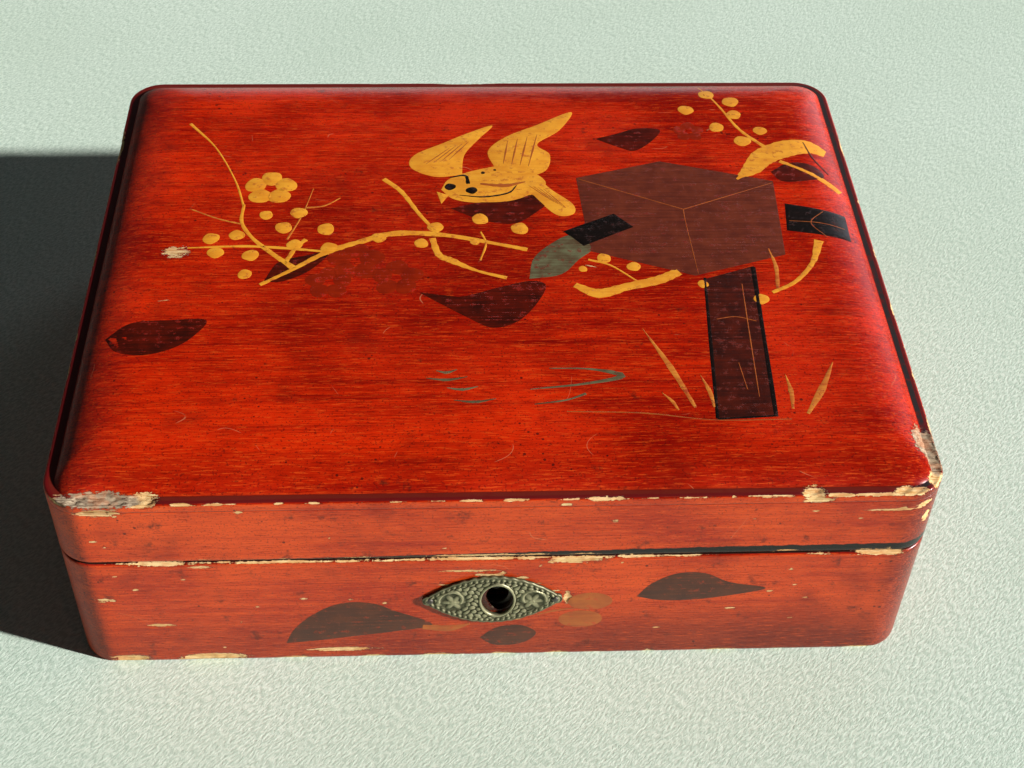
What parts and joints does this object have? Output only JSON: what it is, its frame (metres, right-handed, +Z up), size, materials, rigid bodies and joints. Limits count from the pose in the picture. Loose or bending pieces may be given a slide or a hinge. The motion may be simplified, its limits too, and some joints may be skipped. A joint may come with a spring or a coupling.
{
  "type": "jewelry box",
  "caption": "Low lacquered wooden jewelry box with rounded corners, a crowned hinged lid, a keyed box lock behind a pointed oval escutcheon, silk linings and a lift-out tray.",
  "frame": {"origin": "middle of the underside, on the surface the box stands on", "axes": "+X along the width to the right of someone facing the keyhole, +Y from the keyhole side to the hinges, +Z up"},
  "size_m": [0.25, 0.2015, 0.0765],
  "materials": {
    "red_lacquer": "glossy red lacquer over softwood",
    "black_lacquer": "satin black lacquer",
    "white_metal": "stamped grey white metal, aged",
    "brass": "dull aged brass",
    "iron": "dark iron",
    "silk": "woven silk"
  },
  "bodies": {
    "base": {"back_lining": "silk", "base_back_wall": "red_lacquer", "base_bottom_board": "black_lacquer", "base_front_wall": "red_lacquer", "base_left_wall": "red_lacquer", "base_right_wall": "red_lacquer", "escutcheon": "white_metal", "escutcheon_left_pin": "iron", "escutcheon_right_pin": "iron", "floor_pad": "silk", "front_lining": "silk", "left_hinge_base_leaf": "brass", "left_hinge_base_screw_1": "brass", "left_hinge_base_screw_2": "brass", "left_hinge_pin": "brass", "left_lining": "silk", "left_tray_rest": "black_lacquer", "lock_case": "iron", "lock_drill_pin": "iron", "lock_plate": "brass", "lock_screw_1": "brass", "lock_screw_2": "brass", "lock_screw_3": "brass", "lock_screw_4": "brass", "lock_spring": "iron", "right_hinge_base_leaf": "brass", "right_hinge_base_screw_1": "brass", "right_hinge_base_screw_2": "brass", "right_hinge_pin": "brass", "right_lining": "silk", "right_tray_rest": "black_lacquer"},
    "lid": {"left_hinge_lid_leaf": "brass", "left_hinge_lid_screw_1": "brass", "left_hinge_lid_screw_2": "brass", "lid_back_wall": "red_lacquer", "lid_front_wall": "red_lacquer", "lid_left_wall": "red_lacquer", "lid_pad": "silk", "lid_right_wall": "red_lacquer", "lid_top_board": "red_lacquer", "right_hinge_lid_leaf": "brass", "right_hinge_lid_screw_1": "brass", "right_hinge_lid_screw_2": "brass", "strike_plate": "brass", "strike_screw_1": "brass", "strike_screw_2": "brass"},
    "tray": {"ring_roll_1": "silk", "ring_roll_2": "silk", "ring_roll_3": "silk", "ring_roll_4": "silk", "tray_back_wall": "black_lacquer", "tray_floor": "silk", "tray_front_divider": "black_lacquer", "tray_front_wall": "black_lacquer", "tray_left_divider": "black_lacquer", "tray_left_wall": "black_lacquer", "tray_long_divider": "black_lacquer", "tray_right_divider": "black_lacquer", "tray_right_wall": "black_lacquer"},
    "lock_bolt": {"lock_bolt": "iron"}
  },
  "joints": [
    {"name": "lid_hinge", "type": "hinge", "parent": "base", "child": "lid", "pos_m": [0, 0.0978, 0.047], "axis": [-1, 0, 0], "range_deg": [0, 98]},
    {"name": "tray_lift", "type": "slide", "parent": "base", "child": "tray", "axis": [0, 0, 1], "range_m": [0, 0.018]},
    {"name": "lock_bolt_slide", "type": "slide", "parent": "base", "child": "lock_bolt", "axis": [1, 0, 0], "range_m": [0, 0.0048]}
  ]
}
